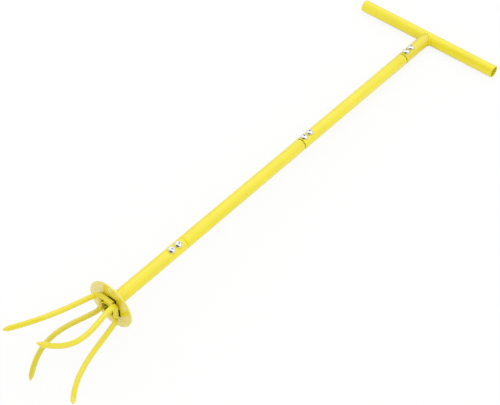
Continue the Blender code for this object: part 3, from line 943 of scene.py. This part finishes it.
def head_outline():
    """The domed head from its crown down to the rounded edge of its underside."""
    crown = SCREW_HEAD_HEIGHT - HEAD_RIM_HEIGHT
    rim = SCREW_HEAD_DIAMETER / 2
    points = []
    for i in range(HEAD_ARC_STEPS + 1):
        angle = math.pi / 2 * i / HEAD_ARC_STEPS
        points.append((HEAD_RIM_HEIGHT + crown * math.cos(angle) ** (2 / HEAD_FULLNESS),
                       rim * math.sin(angle) ** (2 / HEAD_FULLNESS)))
    return points + [(HEAD_RIM_ROUND, rim), (0, rim - HEAD_RIM_ROUND)]


def recess_blade(turn):
    """A tapered blade of the cross recess."""
    shape = bmesh.new()
    depth = RECESS_DEPTH + RECESS_ABOVE
    middle = SCREW_HEAD_HEIGHT + RECESS_ABOVE - depth / 2
    bmesh.ops.create_cube(shape, size=1, matrix=Matrix.Translation((middle, 0, 0))
                          @ Matrix.Diagonal((depth, RECESS_SPAN, RECESS_WIDTH, 1)))
    for vertex in shape.verts:
        if vertex.co.x < middle:
            vertex.co.y *= RECESS_FLOOR_SHARE
            vertex.co.z *= RECESS_FLOOR_WIDTH_SHARE
    bmesh.ops.transform(shape, matrix=Matrix.Rotation(turn, 4, "X"), verts=shape.verts)
    return shape


def recess_cone():
    """The hollow in the middle of the cross recess."""
    shape = bmesh.new()
    depth = RECESS_DEPTH + RECESS_ABOVE
    middle = SCREW_HEAD_HEIGHT + RECESS_ABOVE - depth / 2
    place = Matrix.Translation((middle, 0, 0)) @ Matrix.Rotation(math.pi / 2, 4, "Y")
    bmesh.ops.create_cone(shape, cap_ends=True, segments=RECESS_CONE_SIDES, radius2=RECESS_CONE_RADIUS,
                          radius1=RECESS_CONE_RADIUS * RECESS_FLOOR_SHARE, depth=depth, matrix=place)
    return shape


def add_screws():
    tip = -SCREW_LENGTH
    shank = SCREW_DIAMETER / 2
    outline = head_outline() + [(0, shank), (tip + SCREW_TIP_CHAMFER, shank),
                                (tip, shank - SCREW_TIP_CHAMFER), (tip, 0)]
    for joint in JOINTS:
        for number, (x, turn) in enumerate(STATIONS[joint], start=1):
            cutters = [recess_blade(0), recess_blade(math.pi / 2), recess_cone()]
            shape = subtract(turned(outline, SCREW_SIDES, closed=False), cutters)
            own_place = shape.verts.layers.float_vector.new("own_place")
            for vertex in shape.verts:
                vertex[own_place] = vertex.co
            place = TOOL @ along_shaft(x, turn, TUBE_RADIUS + GAP) @ UPRIGHT
            add_piece("{}_screw_{}".format(joint, number), shape, (PLATED,), place)


def finish_nuts():
    """The nuts stay as they are, in plated steel."""
    for joint in JOINTS:
        for number in (1, 2):
            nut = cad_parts["{}_nut_{}".format(joint, number)]
            nut.data.materials.clear()
            nut.data.materials.append(PLATED)


# Studio

def seen_ray(tree, labels):
    """1 where a ray is one of these kinds."""
    path = add_node(tree, "ShaderNodeLightPath").outputs
    share = path[labels[0]]
    for label in labels[1:]:
        share = calc(tree, "MAXIMUM", share, path[label])
    return share


def add_floor():
    """A pale floor that keeps the tool's shadow, lifted towards white where it is looked at."""
    shape = bmesh.new()
    bmesh.ops.create_grid(shape, x_segments=1, y_segments=1, size=FLOOR_SIZE / 2,
                          matrix=Matrix.Translation((0, 0, -FLOOR_DEPTH)))
    mesh = bpy.data.meshes.new("floor")
    shape.to_mesh(mesh)
    shape.free()
    material = bpy.data.materials.new("pale_floor")
    material.use_nodes = True
    tree = material.node_tree
    tree.nodes.clear()
    matt = add_node(tree, "ShaderNodeBsdfDiffuse", Color=FLOOR)
    glow = add_node(tree, "ShaderNodeEmission", Color=WHITE, Strength=1.0)
    share = calc(tree, "MULTIPLY", seen_ray(tree, SEEN_WHITE), FLOOR_OWN_LIGHT)
    mixed = add_node(tree, "ShaderNodeMixShader")
    for entry, value in zip(mixed.inputs, (share, matt.outputs[0], glow.outputs[0])):
        feed(tree, value, entry)
    output = add_node(tree, "ShaderNodeOutputMaterial")
    tree.links.new(mixed.outputs[0], output.inputs["Surface"])
    mesh.materials.append(material)
    floor = bpy.data.objects.new("floor", mesh)
    bpy.context.scene.collection.objects.link(floor)


def add_studio():
    """Pale light, strongest overhead, with the dark card and the bright box for gloss to mirror."""
    world = bpy.data.worlds.new("studio")
    bpy.context.scene.world = world
    world.use_nodes = True
    tree = world.node_tree
    direction = add_node(tree, "ShaderNodeTexCoord").outputs["Generated"]
    height = add_node(tree, "ShaderNodeSeparateXYZ", Vector=direction).outputs["Z"]
    share = ramp(tree, height, 0.0, STUDIO_OVERHEAD_FROM)
    light = blend_colours(tree, share, STUDIO_HORIZON, STUDIO_OVERHEAD)
    for place, edge, middle, level in (
            (DARK_CARD_FROM, DARK_CARD_EDGE, DARK_CARD_MIDDLE, DARK_CARD),
            (BRIGHT_BOX_FROM, BRIGHT_BOX_EDGE, BRIGHT_BOX_MIDDLE, BRIGHT_BOX)):
        towards = add_node(tree, "ShaderNodeVectorMath", {"operation": "DOT_PRODUCT"})
        feed(tree, direction, towards.inputs[0])
        feed(tree, Vector(place).normalized(), towards.inputs[1])
        within = ramp(tree, towards.outputs["Value"], edge, middle)
        shown = calc(tree, "MULTIPLY", within, seen_ray(tree, ("Is Glossy Ray",)))
        light = blend_colours(tree, shown, light, level)
    colour = blend_colours(tree, seen_ray(tree, ("Is Camera Ray",)), light, WHITE)
    tree.links.new(colour, tree.nodes["Background"].inputs["Color"])


def add_key_light():
    """A broad, weak light from the picture's upper right."""
    lamp = bpy.data.lights.new("key", "SUN")
    lamp.energy = KEY_LEVEL * math.pi
    lamp.angle = KEY_ANGLE
    key = bpy.data.objects.new("key", lamp)
    key.rotation_euler = Vector(KEY_FROM).to_track_quat("Z", "Y").to_euler()
    bpy.context.scene.collection.objects.link(key)


def add_camera():
    data = bpy.data.cameras.new("camera")
    data.lens = CAMERA_LENS
    data.sensor_width = SENSOR_WIDTH
    camera = bpy.data.objects.new("camera", data)
    back = Vector(CAMERA_PLACE) - Vector(CAMERA_AIM)
    turn = back.to_track_quat("Z", "Y") @ Quaternion((0, 0, 1), CAMERA_ROLL)
    camera.rotation_euler = turn.to_euler()
    camera.location = CAMERA_PLACE
    bpy.context.scene.collection.objects.link(camera)
    bpy.context.scene.camera = camera


add_camera()
add_tubes()
add_disc()
add_disc_weld()
add_neck_weld()
add_tines()
add_screws()
finish_nuts()
add_floor()
add_studio()
add_key_light()
bpy.context.scene.view_settings.view_transform = "Standard"
